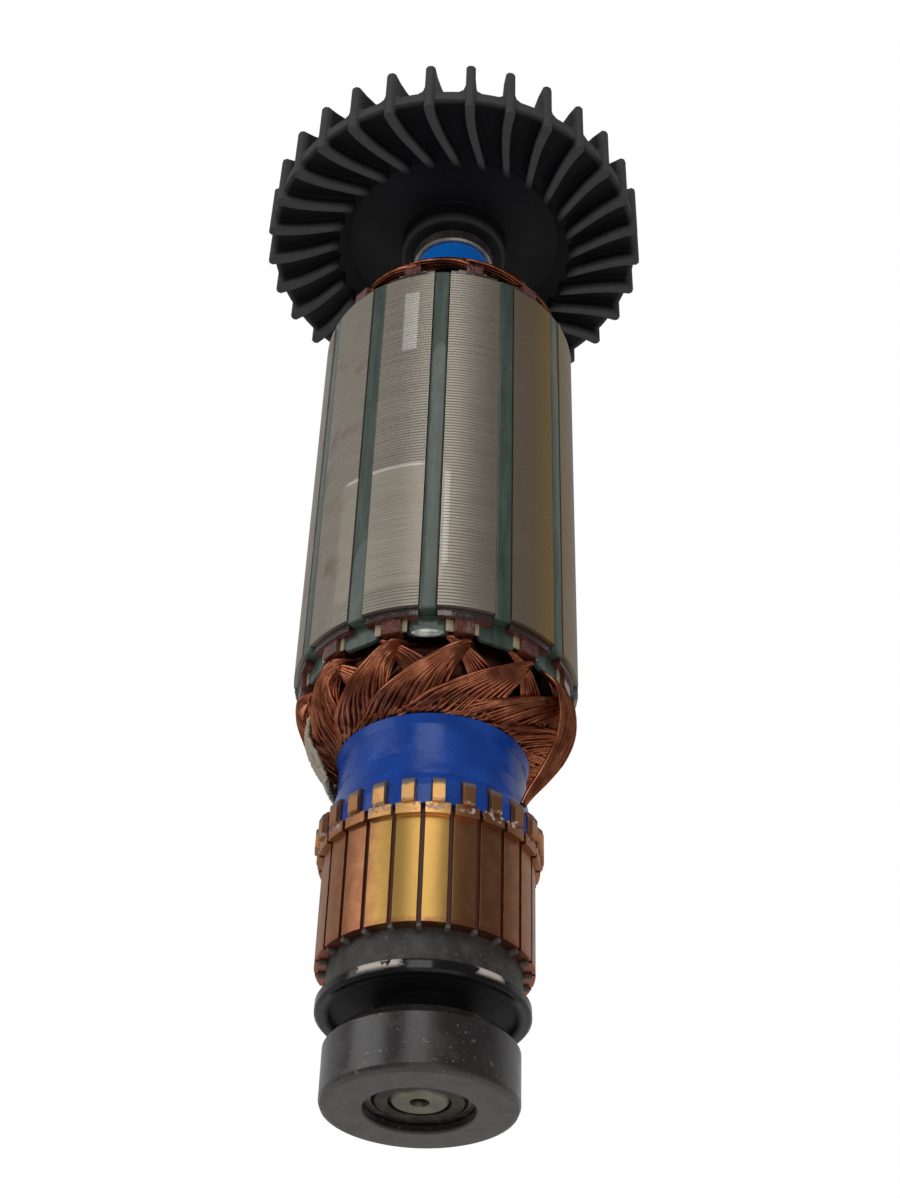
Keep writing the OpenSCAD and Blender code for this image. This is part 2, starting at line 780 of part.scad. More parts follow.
shaft();
shaft_insulation();
core_stack();
end_spider_commutator();
end_spider_fan();
slot_liners();
slot_wedges();
coil_01();
coil_02();
coil_03();
coil_04();
coil_05();
coil_06();
coil_07();
coil_08();
coil_09();
coil_10();
coil_11();
coil_12();
bar_01();
bar_02();
bar_03();
bar_04();
bar_05();
bar_06();
bar_07();
bar_08();
bar_09();
bar_10();
bar_11();
bar_12();
bar_13();
bar_14();
bar_15();
bar_16();
bar_17();
bar_18();
bar_19();
bar_20();
bar_21();
bar_22();
bar_23();
bar_24();
commutator_body();
resin_collar();
lead_bundle();
insulation_washer();
bearing_inner_ring();
bearing_outer_ring();
bearing_balls();
bearing_cage();
bearing_seal_rear();
bearing_seal_front();
rubber_ring();
fan();
fan_collar();
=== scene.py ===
import math
import random

import bpy
from mathutils import Matrix, Vector


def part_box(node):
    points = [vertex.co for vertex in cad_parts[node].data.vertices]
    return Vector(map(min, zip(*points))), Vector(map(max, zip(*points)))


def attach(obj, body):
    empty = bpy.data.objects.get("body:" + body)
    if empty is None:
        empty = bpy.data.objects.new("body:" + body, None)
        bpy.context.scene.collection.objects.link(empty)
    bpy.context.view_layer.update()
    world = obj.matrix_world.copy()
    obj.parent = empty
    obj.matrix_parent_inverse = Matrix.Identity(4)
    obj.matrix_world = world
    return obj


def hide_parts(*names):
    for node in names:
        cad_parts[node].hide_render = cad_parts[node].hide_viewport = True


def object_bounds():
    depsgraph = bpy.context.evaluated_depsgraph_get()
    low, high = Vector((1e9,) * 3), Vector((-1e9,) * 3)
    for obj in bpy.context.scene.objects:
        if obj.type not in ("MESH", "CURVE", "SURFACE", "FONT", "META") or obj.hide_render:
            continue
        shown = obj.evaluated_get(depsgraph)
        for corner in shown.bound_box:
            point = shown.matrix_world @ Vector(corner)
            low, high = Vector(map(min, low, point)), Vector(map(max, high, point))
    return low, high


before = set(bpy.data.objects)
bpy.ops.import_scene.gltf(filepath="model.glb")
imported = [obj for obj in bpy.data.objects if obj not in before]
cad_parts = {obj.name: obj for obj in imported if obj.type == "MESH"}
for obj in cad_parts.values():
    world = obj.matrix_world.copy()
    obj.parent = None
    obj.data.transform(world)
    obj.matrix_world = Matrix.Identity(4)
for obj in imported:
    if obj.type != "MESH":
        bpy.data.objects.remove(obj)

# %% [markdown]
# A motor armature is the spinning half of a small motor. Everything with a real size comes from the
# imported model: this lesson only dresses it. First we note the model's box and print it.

MM = 0.001
box_before = [list(corner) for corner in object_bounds()]
part = {name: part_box(name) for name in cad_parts}
print("model box", box_before)


def low(node):
    return part[node][0][2] / MM


def high(node):
    return part[node][1][2] / MM


# %% [markdown]
# The armature stands on its bearing end and the camera looks up at it from below, close by. We
# turn the camera by its own three axes: right, up and back. A lens of about 53 mm on the usual
# 36 mm sensor gives the strong taper of a near view.

# %% Camera
YAW, PITCH, ROLL = (math.radians(a) for a in (0.43, 38.9, 2.03))
CAMERA_PLACE = (0, -0.1817, -0.0755)
SENSOR = 36
FRAME_HEIGHT, FOCAL_LENGTH = 1198, 1752  # both in the same unit, so only their ratio counts
forward = Vector((math.sin(YAW) * math.cos(PITCH), math.cos(YAW) * math.cos(PITCH),
                  math.sin(PITCH)))
level = Vector((math.cos(YAW), -math.sin(YAW), 0))
upright = level.cross(forward)
right = math.cos(ROLL) * level + math.sin(ROLL) * upright
top = math.cos(ROLL) * upright - math.sin(ROLL) * level
bpy.ops.object.camera_add(location=(0, 0, 0))
camera = bpy.context.object
camera.data.sensor_width = SENSOR
camera.data.lens = FOCAL_LENGTH * SENSOR / FRAME_HEIGHT
camera.data.clip_start = 0.01
camera.matrix_world = Matrix.Translation(CAMERA_PLACE) @ Matrix(
    (right, top, -forward)).transposed().to_4x4()
bpy.context.scene.camera = camera
print("camera lens", round(camera.data.lens, 2))


# %% [markdown]
# Shader nodes are easier to read as sums. This class wraps one socket of a node tree: plain
# arithmetic on it adds Math nodes, and one method adds any other node.

# %% A socket that can be added and multiplied
class Socket:
    def __init__(self, tree, out=None):
        self.tree, self.out = tree, out

    def node(self, kind, settings=None, inputs=None, output=0):
        made = self.tree.nodes.new("ShaderNode" + kind)
        for name, value in (settings or {}).items():
            if name == "stops":
                ramp = made.color_ramp
                while len(ramp.elements) < len(value):
                    ramp.elements.new(0.5)
                for stop, (place, colour) in zip(ramp.elements, value):
                    stop.position, stop.color = place, (*colour, 1)
            else:
                setattr(made, name, value)
        for name, value in (inputs or {}).items():
            if isinstance(value, Socket):
                self.tree.links.new(value.out, made.inputs[name])
            else:
                made.inputs[name].default_value = value
        return Socket(self.tree, made.outputs[output] if made.outputs else None)

    def math(self, operation, *values):
        return self.node("Math", {"operation": operation}, dict(enumerate(values)))

    def __add__(self, other):
        return self.math("ADD", self, other)

    def __sub__(self, other):
        return self.math("SUBTRACT", self, other)

    def __rsub__(self, other):
        return self.math("SUBTRACT", other, self)

    def __mul__(self, other):
        return self.math("MULTIPLY", self, other)

    def __truediv__(self, other):
        return self.math("DIVIDE", self, other)

    def __neg__(self):
        return self.math("MULTIPLY", self, -1)

    __radd__ = __add__
    __rmul__ = __mul__

    def absolute(self):
        return self.math("ABSOLUTE", self)

    def larger(self, other):
        return self.math("MAXIMUM", self, other)

    def smaller(self, other):
        return self.math("MINIMUM", self, other)


print("a socket can be added, multiplied and compared")


# %% [markdown]
# Every finish on this part follows the shaft: rings turned on a lathe, sheets stacked along it,
# stains at one side. So each material starts from the same few numbers, worked out from Object
# coordinates: millimetres, height, radius, and the angle round the shaft seen from the front.

# %% Where a point lies on the armature
class Place:
    def __init__(self, tree):
        self.root = Socket(tree)
        coords = self.root.node("TexCoord", output="Object")
        self.mm = coords.node("VectorMath", {"operation": "SCALE"}, {0: coords, "Scale": 1000})
        split = [self.mm.node("SeparateXYZ", inputs={0: self.mm}, output=k) for k in range(3)]
        self.x, self.y, self.z = split
        squares = self.x * self.x + self.y * self.y
        self.radius = squares.math("SQRT", squares)
        self.angle = self.x.math("ARCTAN2", self.x, -self.y) * (180 / math.pi)

    def noise(self, size, detail=3, rough=0.55, where=None):
        return self.mm.node("TexNoise", inputs={
            "Vector": where or self.mm, "Scale": 1 / size, "Detail": detail, "Roughness": rough})

    def stretch(self, x, y, z):
        return self.mm.node("VectorMath", {"operation": "MULTIPLY"}, {0: self.mm, 1: (x, y, z)})

    def ramp(self, value, start, end):
        return value.node("MapRange", {"interpolation_type": "SMOOTHSTEP"},
                          {"Value": value, "From Min": start, "From Max": end})

    def band(self, value, start, end, soft):
        begun = self.ramp(value, start - soft, start + soft)
        return begun * (1 - self.ramp(value, end - soft, end + soft))

    def window(self, heights, angles, softs):
        """A patch between two heights and two angles, with a soft edge for each pair."""
        return self.band(self.z, *heights, softs[0]) * self.band(self.angle, *angles, softs[1])

    def spots(self, size, share):
        return self.ramp(self.noise(size, 1, 0.3), 1 - share, 1 - share + 0.04)


def mix(mask, first, second):
    made = mask.node("Mix", {"data_type": "RGBA"}, {0: mask}, output=2)
    node = made.out.node
    for place, value in ((6, first), (7, second)):
        if isinstance(value, Socket):
            mask.tree.links.new(value.out, node.inputs[place])
        else:
            node.inputs[place].default_value = (*value, 1)
    return made


print("places on the armature: x, y, z, radius and angle")


# %% [markdown]
# A finish sets plain numbers straight on the shader. Only what changes over the surface is
# linked: colour, roughness, metal, coat and bump. Small edges of machined and moulded parts are
# never knife sharp, so a Bevel node softens the normal at each edge by about a tenth of a
# millimetre.

# %% One recipe for every finish
def finish(name, recipe, edge=0.12, **constants):
    material = bpy.data.materials.new(name)
    material.use_nodes = True
    tree = material.node_tree
    shader = tree.nodes["Principled BSDF"]
    for key, value in constants.items():
        socket = shader.inputs[key.replace("_", " ").title().replace("Ior", "IOR")]
        socket.default_value = value
    place = Place(tree)
    layers = recipe(place)
    normal = None
    if edge:
        normal = place.root.node("Bevel", {"samples": 4}, {"Radius": edge * MM})
    if "bump" in layers:
        inputs = {"Height": layers.pop("bump"), "Distance": MM, "Strength": 1.0}
        if normal:
            inputs["Normal"] = normal
        normal = place.root.node("Bump", inputs=inputs)
    if normal:
        tree.links.new(normal.out, shader.inputs["Normal"])
    for key, value in layers.items():
        socket = shader.inputs[key]
        if isinstance(value, Socket):
            tree.links.new(value.out, socket)
        else:
            socket.default_value = (*value, 1) if isinstance(value, tuple) else value
    return material


def dress(material, *nodes):
    for node in nodes:
        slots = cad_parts[node].data.materials
        slots.clear()
        slots.append(material)
    print(material.name, "on", len(nodes), "nodes")


# %% [markdown]
# Steel first. The shaft is ground and turned: fine rings round it, and on the end face faint
# circles from the lathe tool round the centre hole.

# %% Shaft steel
def turned_steel(p):
    rings = p.noise(0.35, 2, 0.6, p.stretch(0.02, 0.02, 1))
    face = p.noise(0.4, 2, 0.6, p.radius.node("CombineXYZ", inputs={0: p.radius}))
    tone = p.noise(2.5, 3)
    clean = p.ramp(p.z, 3, 6)
    bright = mix(p.ramp(tone, 0.35, 0.7), (0.30, 0.28, 0.25), (0.45, 0.43, 0.39))
    soiled = mix(p.ramp(tone, 0.35, 0.7), (0.17, 0.155, 0.115), (0.26, 0.24, 0.185))
    # The centre hole is painted near black: painted shade inside the hole.
    hole_shade = (1 - p.ramp(p.radius, 0.85, 1.05)) * (1 - clean)
    colour = mix(hole_shade, mix(clean, soiled, bright), (0.02, 0.018, 0.015))
    return {"Base Color": colour, "Roughness": 0.3 + tone * 0.25,
            "bump": rings * 0.01 + face * 0.02}


shaft_steel = finish("shaft_steel", turned_steel, metallic=1.0)
dress(shaft_steel, "shaft", "fan_collar")


# %% [markdown]
# The bearing's rings are ground steel, coloured much darker than the shaft, so only their faint
# circles catch the light.

# %% Bearing steel
def ground_steel(p):
    circles = p.noise(0.15, 2, 0.6, p.radius.node("CombineXYZ", inputs={0: p.radius}))
    colour = mix(p.ramp(p.noise(1.5), 0.4, 0.7), (0.055, 0.047, 0.036), (0.10, 0.088, 0.070))
    return {"Base Color": colour, "Roughness": 0.42 + circles * 0.2, "bump": circles * 0.008}


bearing_steel = finish("bearing_steel", ground_steel, metallic=1.0)
dress(bearing_steel, "bearing_inner_ring", "bearing_outer_ring", "bearing_balls", "bearing_cage")


# %% [markdown]
# The rubber ring and the seals are black rubber that has picked up dust. Pale specks and short
# scratches sit on a soft grey, and the bump is a fine grain.

# %% Rubber
def dusty_rubber(p):
    grain = p.noise(0.25, 3, 0.6)
    dust = p.ramp(p.noise(3, 4, 0.65), 0.42, 0.75)
    specks = p.spots(0.35, 0.27)
    scratches = p.ramp(p.noise(0.5, 2, 0.5, p.stretch(0.15, 1.2, 0.6)), 0.66, 0.72)
    under = p.band(p.z, -0.2, 0.3, 0.15)
    worn = mix(dust, (0.015, 0.012, 0.012), (0.033, 0.029, 0.027))
    flat = mix(under, worn, (0.046, 0.042, 0.038))
    marked = mix((specks * 0.5 + scratches * 0.35) * 0.6, flat, (0.30, 0.28, 0.26))
    return {"Base Color": marked, "Roughness": 0.27 + dust * 0.2 + under * 0.25,
            "bump": grain * 0.02 - scratches * 0.02}


rubber = finish("dusty_rubber", dusty_rubber, edge=0.25, coat_weight=0.3, coat_roughness=0.2)
dress(rubber, "rubber_ring", "bearing_seal_rear", "bearing_seal_front")


# %% [markdown]
# The insulation washer is a glossy black moulding. Pale flux has run over its rim on two sides,
# so a mask built from angle, height and noise lays a matte crust there.

# %% Black washer
def glossy_black(p):
    crust_shape = p.noise(1.2, 4, 0.7)
    sides = p.band(p.angle, -38, -12, 4) + p.band(p.angle, 27, 44, 4)
    foot = low("insulation_washer")
    upper = p.ramp(p.z, foot + 3.9, foot + 4.5)
    crust = p.ramp(crust_shape + sides * 0.18, 0.58, 0.62) * upper * sides
    crust = crust * p.ramp(p.radius, 11.2, 11.5)
    dish = 1 - p.ramp(p.radius, 10.8, 11.6)
    ripple = p.noise(1.8, 2)
    return {"Base Color": mix(crust, (0.005, 0.005, 0.006), (0.42, 0.36, 0.31)),
            "Roughness": 0.14 + crust * 0.5 + dish * 0.4, "bump": ripple * 0.05 + crust * 0.12}


washer_gloss = finish("glossy_black", glossy_black, edge=0.3, specular_ior_level=0.35)
dress(washer_gloss, "insulation_washer")


# %% [markdown]
# The commutator's moulding is dark filled resin: matte, a little brown, with fine chalky spots.
# In the slots between the bars the same resin looks red-brown from copper dust.

# %% Commutator moulding
def filled_resin(p):
    foot = low("bar_01")
    slots = p.ramp(p.z, foot - 0.05, foot + 0.15)
    ends = p.band(p.z, foot - 0.45, foot - 0.02, 0.05) * p.ramp(p.radius, 11.25, 11.4)
    tone = mix(p.ramp(p.noise(1.6, 4), 0.4, 0.7), (0.026, 0.023, 0.021), (0.050, 0.045, 0.041))
    chalk = mix(p.spots(0.3, 0.28) * 0.35, tone, (0.25, 0.24, 0.23))
    dusty = mix(slots, chalk, (0.075, 0.017, 0.010))
    return {"Base Color": mix(ends, dusty, (0.09, 0.075, 0.062)),
            "Roughness": 0.45 + p.noise(0.8) * 0.2, "bump": p.noise(0.3, 3) * 0.04}


dress(finish("filled_resin", filled_resin), "commutator_body")


# %% [markdown]
# Copper bars are burnished by the brushes, with fine lines round the track, and turn brown at the
# riser. Their gold where they face the front is a painted highlight, and so is the brighter gold of
# the hooks there. The hooks were pressed down and fused by a hot electrode, which left their upper
# ends grey. Pale flux clings to the risers between the hooks.

# %% Copper bars
BARS = 24
HOOK_TOP = high("bar_01")
RISER_AND_HOOK = 4.7
RISER = HOOK_TOP - RISER_AND_HOOK
BAR_FOOT = low("bar_01")


def copper_with_painted_highlight(p):
    lines = p.noise(0.12, 2, 0.7, p.stretch(0.03, 0.03, 1))
    stain = p.noise(1.4, 4, 0.6)
    track = 1 - p.ramp(p.z, RISER - 0.2, RISER)
    rim = p.band(p.z, BAR_FOOT - 0.2, BAR_FOOT + 0.5, 0.25) * p.ramp(stain, 0.35, 0.6)
    # A painted highlight: the bars and hooks that face the front are coloured gold.
    bright = p.band(p.angle + stain * 10, -24, 16, 7)
    worn = mix(p.ramp(stain, 0.35, 0.7), (0.34, 0.145, 0.072), (0.42, 0.19, 0.088))
    gold = mix(bright, worn, (0.54, 0.32, 0.09))
    brown = mix(rim * 0.8, gold, (0.36, 0.10, 0.07))
    # Risers and hooks are brown, with the painted highlight's brighter gold on those in front.
    dull = mix(1 - track, brown, mix(bright, (0.42, 0.19, 0.085), (0.80, 0.45, 0.17)))
    burnt = p.ramp(p.z + stain * 1.2, HOOK_TOP - 0.7, HOOK_TOP - 0.2)
    burnt = burnt * p.ramp(p.radius, 13.2, 13.4)
    scorched = mix(burnt, dull, (0.16, 0.15, 0.14))
    flux_band = p.band(p.z, RISER + 0.5, RISER + 1.7, 0.2) * p.ramp(p.radius, 12.7, 12.9)
    flux = flux_band * p.ramp(p.noise(0.9, 4, 0.7), 0.52, 0.60)
    return {"Base Color": mix(flux, scorched, (0.48, 0.36, 0.32)),
            "Metallic": 1 - flux * 0.9 - burnt * 0.4,
            "Roughness": 0.30 + (1 - track) * 0.06 + burnt * 0.25 + flux * 0.4 + lines * 0.08,
            "bump": lines * 0.015 + flux * 0.08 + stain * 0.02}


copper = finish("copper_with_painted_highlight", copper_with_painted_highlight, edge=0.08)
dress(copper, *["bar_%02d" % k for k in range(1, BARS + 1)])


# %% [markdown]
# The collar was dipped in blue resin: a thick coat with a slightly wavy skin. The sleeve on the
# shaft is the same resin in a lighter blue where it comes out of the winding to the fan, and is
# painted lighter still there as painted light, since it sits in shade.

# %% Blue resin
CORE_TOP = high("core_stack")


def dipped_resin(p):
    waves = p.noise(3.5, 2, 0.5)
    fine = p.noise(0.7, 2)
    tone = mix(p.ramp(p.noise(4, 3), 0.35, 0.7), (0.003, 0.036, 0.225), (0.005, 0.050, 0.290))
    specks = p.spots(0.3, 0.22) * 0.4
    # Towards the fan the blue turns lighter: partly the sleeve's own blue, partly painted light
    # against the shade there.
    tone = mix(p.ramp(p.z, CORE_TOP + 2, CORE_TOP + 12), tone, (0.004, 0.15, 0.60))
    return {"Base Color": mix(specks, tone, (0.02, 0.03, 0.10)),
            "Roughness": 0.24 + p.ramp(fine, 0.4, 0.8) * 0.1,
            "bump": waves * 0.12 + fine * 0.02}


blue_resin = finish("dipped_blue_resin", dipped_resin, edge=0.3, specular_ior_level=0.28)
dress(blue_resin, "resin_collar", "shaft_insulation")


# %% [markdown]
# The core is a stack of half-millimetre steel sheets, ground round. Each sheet keeps its own
# tone, the joints between them are thin dark lines, and varnish has left olive and rusty stains
# on one side. Balancing cuts have polished some patches, given here as heights and angles.

# %% Laminated core
SHEET = 0.5
GROUND_PATCH = ((59, 79), (-46, 1), (0.6, 1.2))
PALE_PATCH = ((100.5, 112), (-21, -14.5), (0.3, 0.4))
CUT_EDGE = ((78.6, 79.1), (-44, -9), (0.15, 2))
BRIGHT_STRIP = ((62, 77.5), (0.2, 2.4), (0.2, 0.2))


def stacked_sheets(p):
    sheet = p.z / SHEET
    from_middle = sheet.math("FRACT", sheet) - 0.5
    joint = p.ramp(from_middle.absolute() * 2, 0.62, 0.98)
    turned = p.noise(0.5, 2, 0.6, p.stretch(0.04, 0.04, 2.0))
    lined_here = 1 - p.window(*GROUND_PATCH)
    stain = p.noise(7, 4, 0.6)
    bright = p.window(*PALE_PATCH) + p.window(*CUT_EDGE) + p.window(*BRIGHT_STRIP) * 0.45
    clean = mix(turned, (0.28, 0.245, 0.20), (0.46, 0.415, 0.345))
    tone = mix(bright, clean, (0.66, 0.63, 0.57))
    right_side = p.ramp(p.angle + stain * 14, 10, 48) * (1 - p.ramp(p.angle, 70, 95))
    brown = mix(right_side, tone, (0.30, 0.235, 0.165))
    olive = p.band(p.angle + stain * 10, 47, 64, 12) * p.ramp(stain, 0.15, 0.45)
    tinted = mix(olive * 0.9, brown, (0.36, 0.225, 0.055))
    rusty = p.band(p.angle, -80, -40, 12) * p.ramp(p.noise(4, 4), 0.5, 0.75)
    stained = mix(rusty * 0.6, tinted, (0.26, 0.12, 0.08))
    lined = mix(joint * 0.55 * lined_here, stained, (0.035, 0.031, 0.026))
    # Faces inside the outer skin, in the slots and at the ends, are painted dark: painted shade.
    inside = 1 - p.ramp(p.radius, 17.4, 17.8)
    return {"Base Color": mix(inside, lined, (0.05, 0.04, 0.035)),
            "Metallic": 0.9 - joint * 0.4,
            "Roughness": 0.36 + turned * 0.18 + joint * 0.2,
            "bump": (joint * -0.05 + turned * 0.02) * (0.25 + 0.75 * lined_here)}


dress(finish("laminated_steel", stacked_sheets, edge=0), "core_stack")


# %% [markdown]
# Wedges, liners and end plates are insulation. The wedges come first: dull green fibre under a
# thin coat of varnish, with a grain that runs along them and a few pale scuffs.

# %% Green fibre
def green_fibre(p):
    length = p.noise(1.2, 4, 0.6, p.stretch(1, 1, 0.12))
    tone = mix(p.ramp(length, 0.3, 0.75), (0.020, 0.036, 0.027), (0.048, 0.075, 0.056))
    scuffs = p.ramp(p.noise(0.9, 4, 0.7), 0.6, 0.72) * 0.4
    return {"Base Color": mix(scuffs, tone, (0.16, 0.20, 0.16)),
            "Roughness": 0.30 + p.noise(1.1) * 0.3, "bump": length * 0.08}


fibre = finish("green_fibre", green_fibre, edge=0.25, coat_weight=0.3)
dress(fibre, "slot_wedges")


# %% [markdown]
# The liners are buff paper. Deep in the winding the tone goes dark below a radius: painted shade.

# %% Buff paper
def buff_paper(p):
    fibres = p.noise(0.4, 4, 0.7, p.stretch(1, 1, 0.3))
    clean = mix(fibres, (0.20, 0.15, 0.09), (0.42, 0.35, 0.24))
    # Below a radius the paper is painted dark: painted shade deep in the winding.
    tone = mix(1 - p.ramp(p.radius, 15.0, 15.8), clean, (0.05, 0.022, 0.012))
    return {"Base Color": tone, "Roughness": 0.6, "bump": fibres * 0.08}


paper = finish("buff_paper", buff_paper, edge=0, specular_ior_level=0.3)
dress(paper, "slot_liners")


# %% [markdown]
# The end plates are red-brown fibre that shines where varnish has pooled on it: a strong coat, and a
# bump that is broad rather than fine. Their rims are painted nearly black: painted shade under the
# core's edge.

# %% Varnished fibre
def varnished_fibre(p):
    cloud = p.ramp(p.noise(1.2, 4), 0.35, 0.7)
    posts = mix(cloud, (0.050, 0.011, 0.008), (0.120, 0.030, 0.019))
    # Outside a radius the rim is painted near black: painted shade under the core's edge.
    tone = mix(p.ramp(p.radius, 17.38, 17.46), posts, (0.022, 0.010, 0.008))
    return {"Base Color": tone, "Roughness": 0.16 + p.noise(0.8) * 0.2,
            "bump": p.noise(1.3) * 0.25}


end_fibre = finish("varnished_fibre", varnished_fibre, edge=0.35, coat_weight=0.7,
                   coat_roughness=0.08)
dress(end_fibre, "end_spider_commutator", "end_spider_fan")


# %% [markdown]
# The fan is black moulded plastic with grey dust on the edges that meet the air: the blades'
# front edges, their tips and the rim. The dish behind them stays dark.

# %% Moulded fan
FAN_FRONT = low("fan")


def dusty_plastic(p):
    edges = (1 - p.ramp(p.z, FAN_FRONT + 0.25, FAN_FRONT + 1.3)) * p.ramp(p.radius, 17.8, 20)
    tips = p.ramp(p.radius, 27.6, 28.5)
    hub = p.band(p.radius, 7.6, 8.5, 0.2) * (1 - p.ramp(p.z, FAN_FRONT + 1, FAN_FRONT + 2))
    dust = (edges * 0.9).larger(tips * 0.8).larger(hub * 0.4) * (0.75 + 0.4 * p.noise(1.5, 4))
    cloud = p.ramp(p.noise(5, 3), 0.3, 0.7)
    black = mix(cloud, (0.0050, 0.0042, 0.0055), (0.0075, 0.0065, 0.0078))
    return {"Base Color": mix(dust, black, (0.056, 0.058, 0.056)),
            "Roughness": 0.5 + dust * 0.2, "bump": p.noise(0.5, 3) * 0.04}


dress(finish("dusty_plastic", dusty_plastic, edge=0.4, specular_ior_level=0.2), "fan")


# %% [markdown]
# The winding is what catches the eye: each coil is a fan of half-millimetre enamelled wires that
# leaves its slot beside a post, spreads to the left, dips under the others near the collar and
# goes down into a slot five places on. We draw every wire as a thin curve with round section.
# First the enamel: warm brown copper under a clear coat, painted dark deep inside the winding as
# painted shade.

# %% Enamelled wire
# Where the painted shade in the winding begins, by height off the core.
DEEP_SHADE_RADIUS, DEEP_SHADE_SLOPE = 15.4, 0.75


def enamelled_copper(p):
    middle = (low("core_stack") + high("core_stack")) / 2
    off_core = (p.z - middle).absolute() - (high("core_stack") - middle)
    outer = (DEEP_SHADE_RADIUS - (off_core - 6) * DEEP_SHADE_SLOPE).smaller(DEEP_SHADE_RADIUS)
    # Deep inside the winding the wire is painted near black: painted shade.
    deep_shade = 1 - p.ramp(p.radius - outer, -0.7, 0.7)
    tone = p.noise(2.6, 3, 0.6)
    clean = mix(p.ramp(tone, 0.35, 0.7), (0.27, 0.075, 0.037), (0.54, 0.195, 0.10))
    colour = mix(deep_shade * 0.85, clean, (0.045, 0.014, 0.009))
    dust = p.ramp(p.noise(0.25, 2, 0.5), 0.76, 0.82) * 0.3
    return {"Base Color": mix(dust, colour, (0.40, 0.34, 0.28)),
            "Metallic": 0.95 - dust, "Roughness": 0.2 + tone * 0.12}


enamel = finish("enamelled_copper", enamelled_copper, edge=0, coat_weight=0.15, coat_roughness=0.1,
                specular_tint=(0.5, 0.28, 0.2, 1))
print(enamel.name, "for every wire")


# %% [markdown]
# A wire could be a swept mesh, but a curve with a bevel depth is simpler: its points are the
# path, and its bevel is the round section. All wires of a coil share one curve object, which is
# then converted to a mesh. A spline through a few keys keeps each path smooth.

# %% Curves with a round section, made into one mesh
def wires(name, paths, radius, material):
    bpy.ops.object.select_all(action="DESELECT")
    bpy.ops.curve.primitive_nurbs_path_add(location=(0, 0, 0))
    curve = bpy.context.object
    curve.name = name
    curve.data.splines.clear()
    for path in paths:
        spline = curve.data.splines.new("POLY")
        spline.points.add(len(path) - 1)
        for point, place in zip(spline.points, path):
            point.co = (*(MM * value for value in place), 1)
    curve.data.bevel_depth = radius * MM
    curve.data.bevel_resolution = 1
    curve.data.use_fill_caps = True
    bpy.ops.object.convert(target="MESH")
    wire = bpy.context.object
    bpy.ops.object.shade_smooth()
    wire.data.materials.clear()
    wire.data.materials.append(material)
    return wire


def curve_through(keys, steps):
    """Points of a smooth curve (Catmull-Rom) through the keys."""
    keys = [Vector(key) for key in keys]
    made = []
    for i in range(len(keys) - 1):
        a, b, c, d = (keys[min(max(j, 0), len(keys) - 1)] for j in (i - 1, i, i + 1, i + 2))
        for s in range(steps):
            t = s / steps
            made.append(0.5 * (2 * b + (c - a) * t + (2 * a - 5 * b + 4 * c - d) * t * t
                               + (3 * b - a - 3 * c + d) * t * t * t))
    made.append(keys[-1])
    return made


def around(angle, radius, height):
    """A place in millimetres at an angle from the +X axis, a radius and a height."""
    turn = math.radians(angle)
    return radius * math.cos(turn), radius * math.sin(turn), height


print("curves:", len(curve_through([(0, 0, 0), (1, 0, 0), (1, 1, 0)], 3)), "points through 3 keys")


# %% [markdown]
# A wire's path is a list of stations: degrees from its slot, height off the core's end, and
# depth below the outside of the winding. The outside itself is a profile of radius over height,
# the same that a thumb would feel running down the winding.

# %% The winding's outside
SLOTS = 12
SLOT_ANGLE = -94.5
CORE_LOW, CORE_HIGH = low("core_stack"), high("core_stack")
FRONT_PROFILE = [(-3, 17.2), (0.5, 17.6), (2.5, 17.9), (4.5, 17.9), (6.0, 17.3), (7.5, 16.4),
                 (9.0, 15.1), (10.2, 13.8), (11.0, 13.0), (11.4, 12.5)]
BACK_PROFILE = [(-3, 16.6), (0.5, 16.8), (2.5, 17.0), (3.6, 16.9), (5.4, 16.2), (7.0, 15.2),
                (8.2, 13.9), (9.0, 12.3), (9.4, 11.0), (9.6, 9.5)]
SURFACE_INSET, SLACK = 0.26, 0.03


def outside(profile, height):
    for (h0, r0), (h1, r1) in zip(profile, profile[1:]):
        if height <= h1:
            share = max(0, (height - h0) / (h1 - h0))
            return r0 + (r1 - r0) * share
    return profile[-1][1]


def smooth(value, start, end):
    share = min(max((value - start) / (end - start), 0), 1)
    return share * share * (3 - 2 * share)


print("profiles with", len(FRONT_PROFILE), "and", len(BACK_PROFILE), "points")


# %% [markdown]
# Each wire rounds its post at the apex, the high point of the fan, and slopes down to the left.
# The slope grows flatter on the way, as a wire under tension lies, so the height follows a
# parabola that would be level at the flat angle. Wires that reach far lie under the next coil.

# %% One wire of a fan
APEX_ANGLE, APEX_HEIGHT = -14, 4.3
NEAR, FAR = 8, 68
FLAT = 80
FAN_HEIGHT, COVER_DEPTH = 6.5, 1.05


def climb(distance):
    """How far down the winding a wire has come, from 0 at the post, before its slope is set."""
    return distance - distance * distance / (2 * FLAT)


def covered(angle, height):
    """1 where the next coil's fan lies on top of this one, 0 where nothing does."""
    away = 360 / SLOTS + APEX_ANGLE - angle
    edge = APEX_HEIGHT + FAN_HEIGHT * climb(min(away, FAR)) / climb(FAR)
    return smooth(height, edge - 1.3, edge - 0.2)


